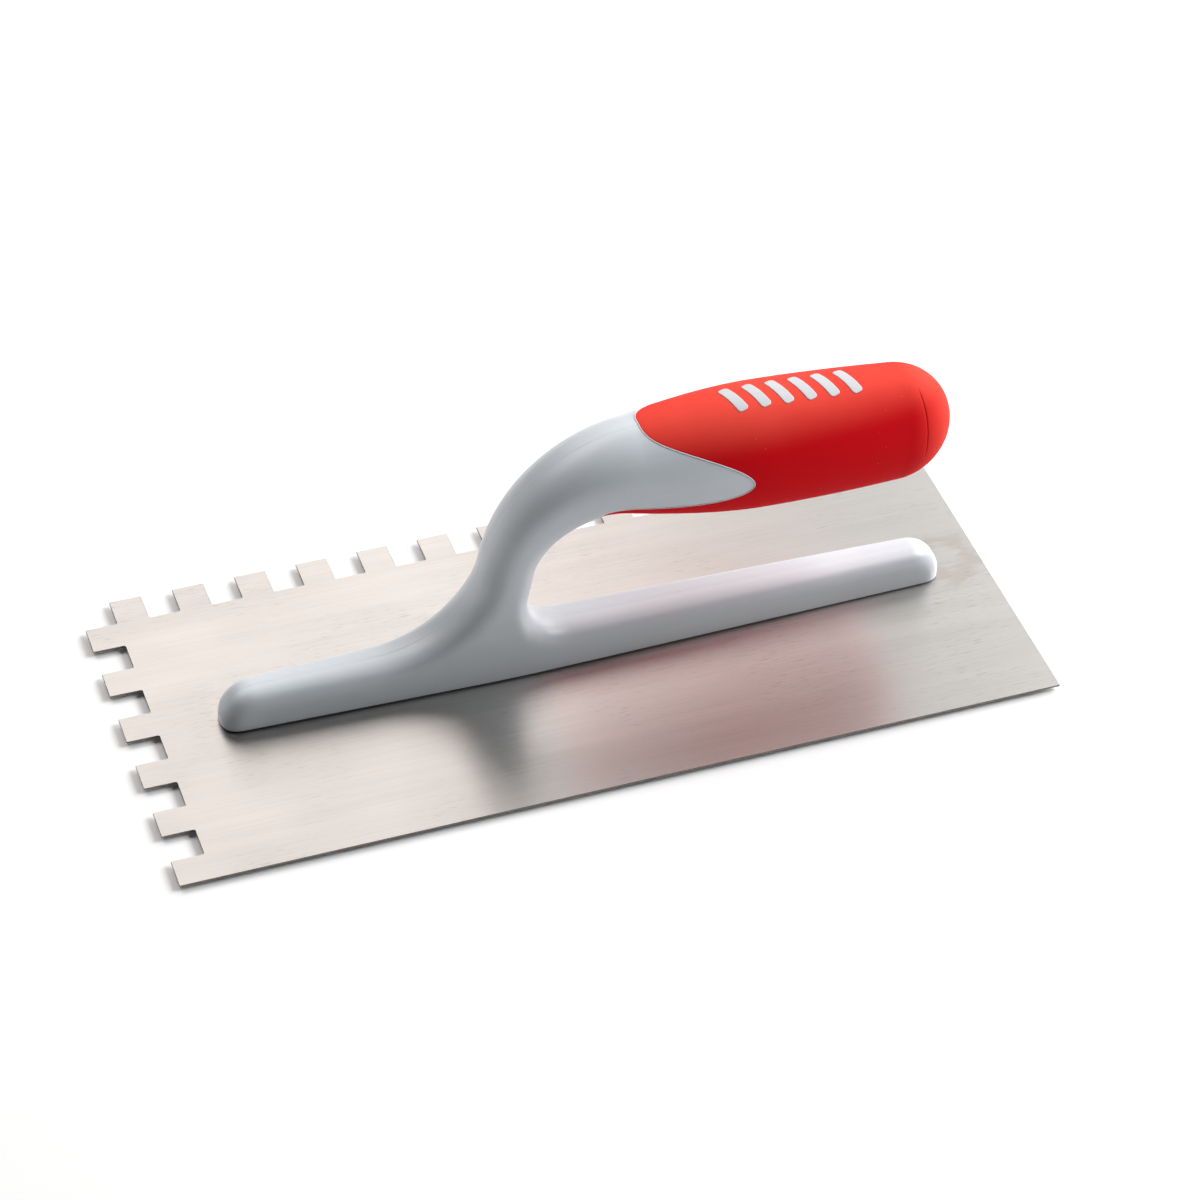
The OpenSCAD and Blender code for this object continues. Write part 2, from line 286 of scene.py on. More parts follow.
@dataclass(frozen=True)
class BrushedSteel:
    """Rolled and brushed stainless sheet, grained along X.

    Places and sizes are in millimetres. The bump's depth is in metres, as in every finish.
    """

    light: Colour = (0.89, 0.868, 0.838)
    dark: Colour = (0.73, 0.712, 0.686)
    fleck: Colour = (0.50, 0.465, 0.435)
    heated: Colour = (0.52, 0.42, 0.30)
    # Dark colour of the painted shade beside the shoe's foot.
    foot_shade: Colour = (0.17, 0.14, 0.125)
    scored: Colour = (0.95, 0.94, 0.93)
    roughness: float = 0.38
    directional: float = 0.94
    bump_depth: float = 0.000010
    heat_at: tuple[float, float] = (129.0, 3.0)
    heat_size: float = 10.0
    foot_w: float = 17.0
    foot_taper: float = 2.7
    foot_reach: float = 117.5
    foot_middle: float = 6.0
    foot_fade: float = 6.0
    foot_shade_from: float = 3.2
    foot_shade_full: float = -0.4
    scratch_runs: tuple[tuple[float, float], ...] = ((14.0, 0.735), (-31.0, 0.75), (62.0, 0.765))

    def heat_tint(self, graph: Graph) -> Wire:
        """Faint ring that a weld left beside the shoe's end.

        Args:
            graph: The material's graph.

        Returns:
            How much of the tint shows.
        """
        wobble = graph.noise((120, 260, 0), detail=4).swing(1.9)
        across = (graph.axis("X") / MM - self.heat_at[0]) * (1 / self.heat_size)
        along = (graph.axis("Y") / MM - self.heat_at[1]) * (1 / self.heat_size)
        radius = (across * across + along * along) ** 0.5 + wobble
        return radius.step(0.30, 0.75) * radius.step(1.35, 0.80)

    def painted_foot_shade(self, graph: Graph, cloud: Wire) -> Wire:
        """Painted shade on the sheet along the foot of the shoe.

        Args:
            graph: The material's graph.
            cloud: Soft noise that breaks the painted shade up.

        Returns:
            How much of the painted shade shows.
        """
        along = abs(graph.axis("X") / MM - self.foot_middle)
        foot = self.foot_w / 2 - along * (self.foot_taper / self.foot_reach)
        beyond = abs(graph.axis("Y")) / MM - foot
        inside = along.step(self.foot_reach, self.foot_reach - self.foot_fade)
        return (beyond.step(self.foot_shade_from, self.foot_shade_full) * inside * (0.7 + cloud.swing(1.2))).clamped()

    def scratches(self, graph: Graph) -> Wire:
        """Sparse hairline scratches in three directions.

        Args:
            graph: The material's graph.

        Returns:
            1 along a scratch and 0 elsewhere.
        """
        runs = []
        for turn, cut in self.scratch_runs:
            line = graph.noise((24, 2600, 0), detail=1, turn=turn).step(cut, cut + 0.03)
            patch = graph.noise((45, 45, 0), detail=1, turn=turn).step(0.55, 0.72)
            runs.append(line * patch)
        return sum(runs[1:], runs[0]).clamped()

    def material(self) -> bpy.types.Material:
        """The sheet's material."""
        graph = Graph("brushed_steel")
        fine = graph.noise((90, 13000, 0), detail=1)
        grain = graph.noise((22, 2600, 0), detail=3)
        bands = graph.noise((4, 170, 170), detail=2)
        smudge = graph.noise((22, 30, 30), detail=4)
        flecks = graph.noise((190, 1500, 0), detail=3).step(0.56, 0.70) * smudge.step(0.42, 0.62)
        scratch = self.scratches(graph)
        tint = self.heat_tint(graph)
        share = (0.5 + grain.swing(1.3) + bands.swing(0.7) + smudge.swing(1.0)).clamped()
        colour = graph.mix(share, self.dark, self.light)
        colour = graph.mix(flecks * 0.42, colour, self.fleck)
        colour = graph.mix(tint * 0.26, colour, self.heated)
        # Painted shade on the sheet along the foot of the shoe, broken up by the smudges.
        colour = graph.mix(self.painted_foot_shade(graph, smudge) * 0.62, colour, self.foot_shade)
        colour = graph.mix(scratch * 0.35, colour, self.scored)
        rough = self.roughness + smudge.swing(0.12) + grain.swing(0.06) + tint * 0.05 - scratch * 0.05
        height = fine * 0.5 + grain * 0.35 - scratch * 0.30
        return graph.finish(Base_Color=colour, Metallic=1.0, Roughness=rough, Anisotropic=self.directional,
                            Normal=graph.bump(height, self.bump_depth))


@dataclass(frozen=True)
class ShearedEdge:
    """Dull cut edge of the stamped sheet, with fine upright shear marks, darkened as painted shade."""

    # Both colours sit far below the steel's own: painted shade for the dark that the edge reflects.
    light: Colour = (0.42, 0.39, 0.37)
    dark: Colour = (0.20, 0.18, 0.17)
    roughness: float = 0.33
    bump_depth: float = 0.00001

    def material(self) -> bpy.types.Material:
        """The edge's material."""
        graph = Graph("sheared_edge_painted_shade")
        marks = graph.noise((5200, 5200, 500), detail=2)
        shade = graph.noise((300, 300, 1400), detail=2)
        colour = graph.mix(shade * 0.5 + marks * 0.5, self.dark, self.light)
        return graph.finish(Base_Color=colour, Metallic=1.0, Roughness=self.roughness + marks.swing(0.2),
                            Normal=graph.bump(marks, self.bump_depth))


@dataclass(frozen=True)
class SatinPlastic:
    """Hard moulded plastic with a satin skin, flow streaks and light scuffs; places in metres."""

    name: str = "grey_plastic"
    base: Colour = (0.568, 0.606, 0.650)
    pale: Colour = (0.645, 0.678, 0.715)
    roughness: float = 0.36
    streaks: float = 1.0
    # Colour of real scuffs and dust, and of a painted highlight along the parting seam.
    marks_and_seam_highlight: Colour = (0.80, 0.82, 0.84)
    # Near-black colour of the painted shade in the gap where the moulding's foot meets the blade.
    painted_crevice_shade: Colour = (0.012, 0.011, 0.010)
    seam_half: tuple[float, float] = (0.00016, 0.00006)
    painted_shade_z: tuple[float, float] = (0.00150, 0.00126)
    bump_depth: float = 0.00003

    def material(self) -> bpy.types.Material:
        """The plastic's material."""
        graph = Graph(self.name)
        skin = graph.noise((3600, 3600, 3600), detail=3)
        cloud = graph.noise((38, 38, 38), detail=3)
        streak = graph.noise((7, 420, 420), detail=2)
        scuff = graph.noise((700, 60, 700), detail=2).step(0.70, 0.76)
        dust = graph.specks(420, 0.10)
        seam = abs(graph.axis("Y")).step(*self.seam_half)
        # Painted shade: the plastic turns near-black below 1.26 mm, fading out by 1.5 mm, at its foot.
        painted_crevice_shade = graph.axis("Z").step(*self.painted_shade_z)
        share = 0.35 + cloud.swing(0.55) + streak.swing(0.5) * self.streaks + skin.swing(0.2)
        colour = graph.mix(share.clamped(), self.base, self.pale)
        # Scuffs and dust are real marks; the paler line on the seam is a painted highlight, while its ridge
        # comes from the bump.
        colour = graph.mix(scuff * 0.10 + seam * 0.22 + dust * 0.06, colour, self.marks_and_seam_highlight)
        colour = graph.mix(painted_crevice_shade * 0.95, colour, self.painted_crevice_shade)
        rough = self.roughness + cloud.swing(0.10) + skin.swing(0.10) + streak.swing(0.10) * self.streaks
        height = skin * 0.25 + streak * 0.35 * self.streaks + seam * 2.0
        return graph.finish(Base_Color=colour, Roughness=rough, IOR=1.49,
                            Normal=graph.bump(height, self.bump_depth))


@dataclass(frozen=True)
class SoftRed:
    """Matt soft-touch elastomer with fine pores and a few trapped specks; places in metres."""

    base: Colour = (0.65, 0.003, 0.009)
    deep: Colour = (0.55, 0.004, 0.007)
    # Paler orange of the painted highlight on the grip's top and rear end.
    painted_highlight: Colour = (0.78, 0.075, 0.050)
    light_dot: Colour = (0.78, 0.16, 0.13)
    dark_dot: Colour = (0.16, 0.004, 0.006)
    sheen: Colour = (1.0, 0.72, 0.58)
    roughness: float = 0.70
    highlight_z: tuple[float, float] = (0.0795, 0.0905)
    highlight_x: tuple[float, float] = (0.100, 0.117)
    bump_depth: float = 0.00004

    def material(self) -> bpy.types.Material:
        """The elastomer's material."""
        graph = Graph("soft_red")
        pores = graph.noise((2300, 2300, 2300), detail=3)
        grainy = graph.noise((6200, 6200, 6200), detail=2)
        cloud = graph.noise((45, 45, 45), detail=3)
        light_speck = graph.specks(210, 0.055)
        dark_speck = graph.specks(260, 0.05)
        share = (0.62 + cloud.swing(0.8) + pores.swing(0.5)).clamped()
        colour = graph.mix(share, self.deep, self.base)
        # Painted highlight: the red turns paler and more orange above z 79.5 to 90.5 mm and towards the rear
        # end.
        highlight_share = graph.axis("Z").step(*self.highlight_z) + graph.axis("X").step(*self.highlight_x) * 0.80
        painted_highlight = highlight_share * (0.85 + cloud.swing(0.6))
        colour = graph.mix(painted_highlight.clamped(), colour, self.painted_highlight)
        colour = graph.mix(light_speck * 0.45, colour, self.light_dot)
        colour = graph.mix(dark_speck * 0.35, colour, self.dark_dot)
        rough = self.roughness + cloud.swing(0.12) + grainy.swing(0.16)
        height = pores * 0.6 + grainy * 0.4 - dark_speck * 0.8 + light_speck * 0.5
        return graph.finish(Base_Color=colour, Roughness=rough, Specular_IOR_Level=0.04,
                            Sheen_Weight=0.015, Sheen_Tint=(*self.sheen, 1.0),
                            Normal=graph.bump(height, self.bump_depth))


@dataclass(frozen=True)
class DullSteel:
    """Plain drawn steel of the hidden studs."""

    dark: Colour = (0.50, 0.50, 0.50)
    light: Colour = (0.70, 0.70, 0.69)
    roughness: float = 0.35
    bump_depth: float = 0.00002

    def material(self) -> bpy.types.Material:
        """The studs' material."""
        graph = Graph("stud_steel")
        rings = graph.noise((900, 900, 4000), detail=2)
        colour = graph.mix(rings, self.dark, self.light)
        return graph.finish(Base_Color=colour, Metallic=1.0, Roughness=self.roughness + rings.swing(0.2),
                            Normal=graph.bump(rings, self.bump_depth))


@dataclass(frozen=True)
class PalePaper:
    """Plain pale sweep that the tool lies on."""

    dark: Colour = (0.92, 0.92, 0.92)
    light: Colour = (0.94, 0.94, 0.94)
    roughness: float = 0.9

    def material(self) -> bpy.types.Material:
        """The floor's material."""
        graph = Graph("pale_paper")
        fibre = graph.noise((900, 900, 900), detail=2)
        return graph.finish(Base_Color=graph.mix(fibre, self.dark, self.light), Roughness=self.roughness)


class Finish(Enum):
    """The finishes that the pieces are dressed in."""

    BLADE = BrushedSteel()
    CUT_EDGE = ShearedEdge()
    GREY = SatinPlastic()
    PALE_RIM = SatinPlastic("pale_rim", (0.60, 0.63, 0.66), (0.68, 0.71, 0.73), 0.42, 0.0)
    PADS = SatinPlastic("pad_plastic", (0.52, 0.53, 0.55), (0.57, 0.58, 0.60), 0.42, 0.0)
    PLUG = SatinPlastic("plug_plastic", (0.28, 0.30, 0.32), (0.34, 0.36, 0.38), 0.45, 0.3)
    RED = SoftRed()
    STUD = DullSteel()
    FLOOR = PalePaper()

    def material(self) -> bpy.types.Material:
        """The finish's material, made once."""
        made = _MATERIALS.get(self.name)
        if made is None:
            made = self.value.material()
            _MATERIALS[self.name] = made
        return made


_MATERIALS: dict[str, bpy.types.Material] = {}


# ---------------------------------------------------------------- meshes


def smooth(value: Array | float) -> Array:
    """Eased step from 0 to 1 over the same range."""
    held = np.clip(value, 0.0, 1.0)
    return held * held * (3 - 2 * held)


def blend(low: Array | float, high: Array | float, share: Array | float) -> Array:
    """Straight blend of two values.

    Args:
        low: Value at a share of 0.
        high: Value at a share of 1.
        share: The share.

    Returns:
        The blended value.
    """
    return low + (high - low) * share


def half_round(value: Array | float) -> Array:
    """Quarter circle from 1 at 0 down to 0 at 1."""
    return np.sqrt(np.clip(1 - np.square(value), 0.0, 1.0))


def evenly(run: Array, fine: Array, count: int) -> Array:
    """Picks values that lie evenly along a length.

    Args:
        run: Length between each two neighbouring fine values.
        fine: Finely spaced values, from start to end.
        count: How many to pick, without the end.

    Returns:
        The picked values.
    """
    length = np.concatenate([[0], np.cumsum(run)])
    return np.interp(np.linspace(0, length[-1], count, endpoint=False), length, fine)


@contextmanager
def reshaping(mesh: bpy.types.Mesh) -> Iterator[bmesh.types.BMesh]:
    """Opens a mesh for editing and writes it back afterwards.

    Args:
        mesh: The mesh.

    Yields:
        The mesh in its editable form.
    """
    shaper = bmesh.new()
    shaper.from_mesh(mesh)
    yield shaper
    shaper.to_mesh(mesh)
    shaper.free()


@dataclass
class Piece:
    """A visible piece: a mesh in millimetres that becomes an object in metres."""

    name: str
    slot: str
    finish: Finish

    def build(self, points: Array, faces: Sequence[Sequence[int]], flat: bool = False) -> bpy.types.Object:
        """Makes the object, dresses it and lets it ride with the tool.

        Args:
            points: Corners in millimetres, one row each.
            faces: Corner numbers of each face.
            flat: Whether faces keep their own shade.

        Returns:
            The object.
        """
        mesh = bpy.data.meshes.new(self.name)
        mesh.from_pydata((np.asarray(points, float) * MM).tolist(), [], [list(map(int, f)) for f in faces])
        mesh.validate()
        with reshaping(mesh) as shaper:
            bmesh.ops.recalc_face_normals(shaper, faces=shaper.faces)
        if not flat:
            mesh.shade_smooth()
        return self.dress(bpy.data.objects.new(self.name, mesh))

    def dress(self, thing: bpy.types.Object) -> bpy.types.Object:
        """Links an object into the scene with its finish and body, and logs its slot.

        Args:
            thing: The object.

        Returns:
            The same object.
        """
        bpy.context.scene.collection.objects.link(thing)
        thing.data.materials.append(self.finish.material())
        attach(thing, BODY)
        log.info("%s: %d faces in %s", self.name, len(thing.data.polygons), self.slot)
        return thing


def ring_faces(count: int, around: int, closed: bool = False) -> list[tuple[int, ...]]:
    """Quads between neighbouring rings of points.

    Args:
        count: Number of rings.
        around: Points in each ring.
        closed: Whether the last ring joins the first.

    Returns:
        The faces.
    """
    faces = []
    for i in range(count if closed else count - 1):
        here, there = i * around, (i + 1) % count * around
        for j in range(around):
            k = (j + 1) % around
            faces.append((here + j, there + j, there + k, here + k))
    return faces


@dataclass
class HandleLine:
    """Centreline and sections of neck and grip, in millimetres from the blade's underside."""

    neck_x: float = -28.5
    neck_lean: float = 81.0
    bend_r: float = 36.0
    neck_t: float = 16.0
    neck_w: float = 18.8
    grip_z: float = 72.4
    grip_drop: float = 2.8
    grip_end_x: float = 119.0
    grip_h: float = 39.6
    grip_w: float = 36.8
    rear_h: float = 38.4
    rear_w: float = 32.0
    dome_l: float = 19.0
    belly_s: float = 94.0
    skin_t: float = 2.5
    skin_start: float = 0.3
    skin_ramp: float = 4.0
    edge_top_s: float = 54.0
    edge_tongue_s: float = 86.0
    edge_low_s: float = 42.0
    edge_under_s: float = 33.0
    tongue_angle: float = 89.0
    strip_angle: float = 116.0

    def __post_init__(self) -> None:
        """Works out the bend and where the rounded end begins."""
        self.lean = math.radians(self.neck_lean)
        self.drop = math.radians(self.grip_drop)
        self.turn_from = math.pi / 2 + self.lean
        self.turn_to = math.pi / 2 - self.drop
        self.bend_l = self.bend_r * (self.turn_from - self.turn_to)
        self.centre_z = self.grip_z - self.bend_r
        top_z = self.centre_z + self.bend_r * math.sin(self.turn_from)
        self.centre_x = self.neck_x + top_z / math.tan(self.lean) - self.bend_r * math.cos(self.turn_from)
        self.grip_x0 = self.centre_x + self.bend_r * math.cos(self.turn_to)
        self.end_s = self.bend_l + (self.grip_end_x - self.grip_x0) / math.cos(self.drop)
        self.dome_s = self.end_s - self.dome_l

    def centre(self, s: Array) -> tuple[Array, Array, Array]:
        """The centreline.

        Args:
            s: Distances from the start of the bend.

        Returns:
            Its x, z and heading in radians.
        """
        s = np.asarray(s, float)
        turn = self.turn_from - np.clip(s, 0, self.bend_l) / self.bend_r
        before, after = np.minimum(s, 0), np.maximum(s - self.bend_l, 0)
        x = (self.centre_x + self.bend_r * np.cos(turn)
             + before * math.cos(self.lean) + after * math.cos(self.drop))
        z = (self.centre_z + self.bend_r * np.sin(turn)
             + before * math.sin(self.lean) - after * math.sin(self.drop))
        return x, z, turn - math.pi / 2

    def swell(self, s: Array, thin: float, full: float, rear: float) -> Array:
        """Half size of the section, which swells from the neck to the belly and eases off.

        Args:
            s: Distances along the centreline.
            thin: Size at the neck.
            full: Size at the belly.
            rear: Size where the rear end begins to round off.

        Returns:
            Half sizes, with the rounded end taken in.
        """
        s = np.asarray(s, float)
        front = blend(thin, full, smooth(s / self.belly_s))
        back = blend(full, rear, np.square((s - self.belly_s) / (self.dome_s - self.belly_s)))
        return np.where(s < self.belly_s, front, np.where(s < self.dome_s, back, rear)) / 2

    def half_height(self, s: Array) -> Array:
        """Half height of the section."""
        return self.swell(s, self.neck_t, self.grip_h, self.rear_h)

    def half_width(self, s: Array) -> Array:
        """Half width of the section."""
        return self.swell(s, self.neck_w, self.grip_w, self.rear_w)

    def sunk(self, past_edge: Array) -> Array:
        """How deep the skin is let in at a distance past its edge."""
        return self.skin_t * smooth((past_edge - self.skin_start) / self.skin_ramp)

    def edge(self, angle: Array) -> Array:
        """Where the soft skin begins.

        Args:
            angle: Angles round from the top, in degrees.

        Returns:
            Distances along the centreline.
        """
        a = np.abs((np.asarray(angle, float) + 180) % 360 - 180)
        rise = blend(self.edge_top_s, self.edge_tongue_s,
                     smooth(np.power(np.clip(a / self.tongue_angle, 0, 1), 1.5)))
        reach = (a - self.tongue_angle) / (self.strip_angle - self.tongue_angle)
        fall = blend(self.edge_low_s, self.edge_tongue_s, half_round(np.clip(reach, 0, 1)))
        under = blend(self.edge_low_s, self.edge_under_s, half_round((180 - a) / (180 - self.strip_angle)))
        return np.where(a <= self.tongue_angle, rise, np.where(a <= self.strip_angle, fall, under))

    def surface(self, s: Array, angle: Array, lift: Array | float = 0.0) -> Array:
        """Points on the grip.

        Args:
            s: Distances along the centreline, up to the very end.
            angle: Angles round from the top, in degrees.
            lift: How far out from the surface, negative inside.

        Returns:
            Points, one row each.
        """
        s, angle, lift = np.broadcast_arrays(np.asarray(s, float), np.asarray(angle, float), lift)
        x, z, heading = self.centre(s)
        reach = np.clip((s - self.dome_s) / (self.dome_l + lift), 0, 1)
        share = np.where(s > self.dome_s, half_round(reach), 1.0)
        up = (self.half_height(s) + lift) * share * np.cos(np.radians(angle))
        side = (self.half_width(s) + lift) * share * np.sin(np.radians(angle))
        return np.stack([x - up * np.sin(heading), -side, z + up * np.cos(heading)], -1)


@dataclass(frozen=True)
class SideView:
    """What the side outline gives at each place, in millimetres."""

    s: Array
    off: Array
    height: Array
    width: Array
    share: Array
    shoe: Array
    top: Array


def along_and_off(x: Array, z: Array, start: tuple[float, float], heading: float) -> tuple[Array, Array]:
    """Places measured along and off a straight line.

    Args:
        x: Places along the blade.
        z: Heights.
        start: The line's start, as x and z.
        heading: The line's rise, in radians.

    Returns:
        Distances along the line, and off it to its left.
    """
    dx, dz = x - start[0], z - start[1]
    return (dx * math.cos(heading) + dz * math.sin(heading),
            dz * math.cos(heading) - dx * math.sin(heading))


@dataclass
class GreyMoulding:
    """Shoe, neck and core in one hard moulding, netted from an implicit shape."""

    line: HandleLine
    shoe_l: float = 235.0
    shoe_w: float = 17.0
    shoe_end_w: float = 11.6
    shoe_h: float = 14.5
    shoe_end_h: float = 12.6
    shoe_shift: float = 6.0
    blade_t: float = 0.7
    rim_gap: float = 0.4
    rim_inset: float = 1.0
    corner_r: float = 7.0
    nose_r: float = 10.5
    closed_fillet: float = 27.0
    open_fillet: float = 16.0
    plug_s: float = 5.0
    neck_power: float = 2.55
    shoe_power: float = 2.7
    square_until: float = 12.0
    round_from: float = 58.0
    fillet_shift: float = 3.0
    fillet_blend: float = 12.0
    shoe_blend_from: float = 3.0
    shoe_blend: float = 20.0
    share_ease: float = 0.1
    grid: float = 0.75
    coarser: float = 2.2
    margin_cells: float = 2.3

    def __post_init__(self) -> None:
        """Works out the shoe's ends and where it is widest."""
        self.x0 = self.shoe_shift - self.shoe_l / 2
        self.x1 = self.shoe_shift + self.shoe_l / 2
        self.wide_x = self.line.neck_x + self.shoe_h / math.tan(self.line.lean) + self.line.neck_t / 2
        self.rim_z = self.blade_t + self.rim_gap
        self.cut_s = self.line.dome_s + self.plug_s

    def shoe_share(self, x: Array) -> Array:
        """How far x is from the widest place to an end, eased at the widest place."""
        span = np.where(x < self.wide_x, self.wide_x - self.x0, self.x1 - self.wide_x)
        ease = self.share_ease
        return np.clip(np.sqrt(np.square((x - self.wide_x) / span) + ease ** 2) - ease, 0, 1)

    def side_view(self, x: Array, z: Array) -> SideView:
        """The side outline as a distance, with the section that goes with each place.

        Args:
            x: Places along the blade.
            z: Heights.

        Returns:
            Centreline place, offset from it, half sizes, the shoe's share, distance and top.
        """
        line = self.line
        dx, dz = x - line.centre_x, z - line.centre_z
        angle = np.arctan2(dz, dx)
        angle = np.where(angle < line.turn_to - math.pi, angle + 2 * math.pi, angle)
        start = (line.centre_x + line.bend_r * math.cos(line.turn_from),
                 line.centre_z + line.bend_r * math.sin(line.turn_from))
        along_neck, off_neck = along_and_off(x, z, start, line.lean)
        along_grip, off_grip = along_and_off(x, z, line.centre(line.bend_l)[:2], -line.drop)
        on_neck = (along_neck < 0) & (off_neck > -line.bend_r)
        on_grip = (along_grip > 0) & (off_grip > -line.bend_r)
        s = np.where(on_neck, along_neck, np.where(on_grip, line.bend_l + along_grip,
                                                   (line.turn_from - angle) * line.bend_r))
        s = np.where(on_neck | on_grip, s, np.clip(s, 0, line.bend_l))
        on_bend = (angle >= line.turn_to) & (angle <= line.turn_from)
        radius = np.hypot(dx, dz)
        off_bend = np.where(on_bend, radius, -radius) - line.bend_r
        off = np.where(on_neck, off_neck, np.where(on_grip, off_grip, off_bend))
        height, width = line.half_height(s), line.half_width(s)
        share = self.shoe_share(x)
        top = self.rim_z - self.rim_gap + blend(self.shoe_h, self.shoe_end_h, share)
        out_x = np.abs(x - self.shoe_shift) - self.shoe_l / 2 + self.nose_r
        out_z = z - top + self.nose_r
        shoe = np.hypot(np.maximum(out_x, 0), np.maximum(out_z, 0)) + np.minimum(np.maximum(out_x, out_z), 0)
        return SideView(s, off, height, width, share, shoe - self.nose_r, top)

    def shape(self, x: Array, y: Array, z: Array) -> Array:
        """The moulding's implicit shape.

        Args:
            x: Places along the blade.
            y: Places across it.
            z: Heights.

        Returns:
            Negative inside, roughly a distance near the surface.
        """
        side = self.side_view(x, z)
        s, off, shoe = side.s, side.off, side.shoe
        angle = np.degrees(np.arctan2(np.abs(y) / side.width, off / side.height))
        sunk = self.line.sunk(s - self.line.edge(angle))
        height, width = side.height - sunk, side.width - sunk
        tube = np.abs(off) - height
        closed_side = smooth((self.wide_x - self.fillet_shift - x) / self.fillet_blend + 0.5)
        fillet = blend(self.open_fillet, self.closed_fillet, closed_side)
        reach = np.hypot(np.maximum(fillet - tube, 0), np.maximum(fillet - shoe, 0))
        outline = np.maximum(fillet, np.minimum(tube, shoe)) - reach
        shoeness = 1 - smooth((z - side.top + self.shoe_blend_from) / self.shoe_blend)
        depth = blend(height, self.corner_r, shoeness)
        squareness = 1 - smooth((s - self.square_until) / (self.round_from - self.square_until))
        power = blend(blend(2.0, self.neck_power, squareness), self.shoe_power, shoeness)
        half = blend(width, blend(self.shoe_w, self.shoe_end_w, side.share) / 2, shoeness)
        inward = np.maximum(1 + outline / depth, 0)
        rho = np.power(np.power(inward, power) + np.power(np.abs(y) / half, power), 1 / power)
        body = (rho - 1) * np.minimum(depth, half)
        return np.where(s > self.line.belly_s, np.maximum(body, s - self.cut_s), body)

    def build(self) -> bpy.types.Object:
        """Nets the shape, cuts its base flat, and adds the foot that stands on the blade."""
        step = self.grid * 1.0
        margin = self.margin_cells * step
        reach_y = self.line.grip_w / 2 + margin
        low = np.array([self.x0 - margin, -reach_y, self.rim_z - margin])
        high = np.array([self.x1 + margin, reach_y, self.line.grip_z + self.line.grip_h / 2 + margin])
        points, faces = surface_net(self.shape, low, high, step)
        thing = Piece("handle_moulding", "grey_plastic", Finish.GREY).build(points, faces)
        with reshaping(thing.data) as shaper:
            everything = shaper.verts[:] + shaper.edges[:] + shaper.faces[:]
            cut = bmesh.ops.bisect_plane(shaper, geom=everything, plane_co=(0, 0, self.rim_z * MM),
                                         plane_no=(0, 0, -1), clear_outer=True)
            rim = [e for e in cut["geom_cut"] if isinstance(e, bmesh.types.BMEdge)]
            base = bmesh.ops.edgeloop_fill(shaper, edges=rim)["faces"]
            for edge in rim:
                edge.smooth = False
            bmesh.ops.inset_region(shaper, faces=base, thickness=self.rim_inset * MM, use_even_offset=True)
            bmesh.ops.translate(shaper, verts=base[0].verts[:], vec=(0, 0, -self.rim_gap * MM))
            bmesh.ops.recalc_face_normals(shaper, faces=shaper.faces)
        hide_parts("handle_body")
        return thing


def surface_net(shape: Callable[[Array, Array, Array], Array], low: Array, high: Array,
                step: float, passes: int = 4) -> tuple[Array, list[tuple[int, ...]]]:
    """Quad surface round the inside of an implicit shape.

    Args:
        shape: Gives a value at x, y and z that is negative inside.
        low: Lowest corner of the space searched.
        high: Highest corner.
        step: Side of a cell.
        passes: How often the points are evened out.

    Returns:
        Points and quads.
    """
    axes = [np.arange(low[i], high[i] + step, step) for i in range(3)]
    values = shape(*np.meshgrid(*axes, indexing="ij"))
    inside = values < 0
    corners = [(i, j, k) for i in (0, 1) for j in (0, 1) for k in (0, 1)]
    size = tuple(n - 1 for n in values.shape)

    def corner(grid: Array, place: tuple[int, int, int]) -> Array:
        """One corner of every cell."""
        return grid[tuple(slice(p, p + n) for p, n in zip(place, size))]

    count = sum(corner(inside, c).astype(int) for c in corners)
    mixed = (count > 0) & (count < 8)
    total, crossings = np.zeros((*size, 3)), np.zeros(size)
    for a in corners:
        for axis in range(3):
            if a[axis]:
                continue
            b = tuple(1 if i == axis else a[i] for i in range(3))
            va, vb = corner(values, a), corner(values, b)
            crossed = (va < 0) != (vb < 0)
            share = np.where(crossed, va / np.where(crossed, va - vb, 1.0), 0.0)
            for i in range(3):
                total[..., i] += crossed * (a[i] + (share if i == axis else 0.0))
            crossings += crossed
    cells = np.argwhere(mixed)
    offset = total[mixed] / crossings[mixed][:, None]
    points = low + (cells + offset) * step
    number = np.full(size, -1)
    number[mixed] = np.arange(len(cells))
    faces = net_faces(inside, number)
    links = neighbour_links(faces, len(points))
    for _ in range(passes):
        points = relax(settle(shape, points, step), links)
    return settle(shape, settle(shape, points, step), step), [tuple(f) for f in faces]


def net_faces(inside: Array, number: Array) -> Array:
    """Quads across every grid edge that the surface crosses.

    Args:
        inside: Whether each grid point is inside.
        number: Number of each cell's point, or -1.

    Returns:
        Four point numbers in each row.
    """
    quads = []
    for axis in range(3):
        one, two = (axis + 1) % 3, (axis + 2) % 3
        near = np.take(inside, range(inside.shape[axis] - 1), axis)
        far = np.take(inside, range(1, inside.shape[axis]), axis)
        for entering in (True, False):
            places = np.argwhere(near & ~far if entering else ~near & far)
            places = places[(places[:, one] > 0) & (places[:, two] > 0)]
            ring = []
            for back_one, back_two in ((1, 1), (0, 1), (0, 0), (1, 0)):
                cell = places.copy()
                cell[:, one] -= back_one
                cell[:, two] -= back_two
                limit = np.array(number.shape) - 1
                ring.append(number[tuple(np.minimum(cell, limit).T)])
            quad = np.stack(ring, 1)
            quads.append(quad if entering else quad[:, ::-1])
    faces = np.concatenate(quads)
    return faces[(faces >= 0).all(1)]


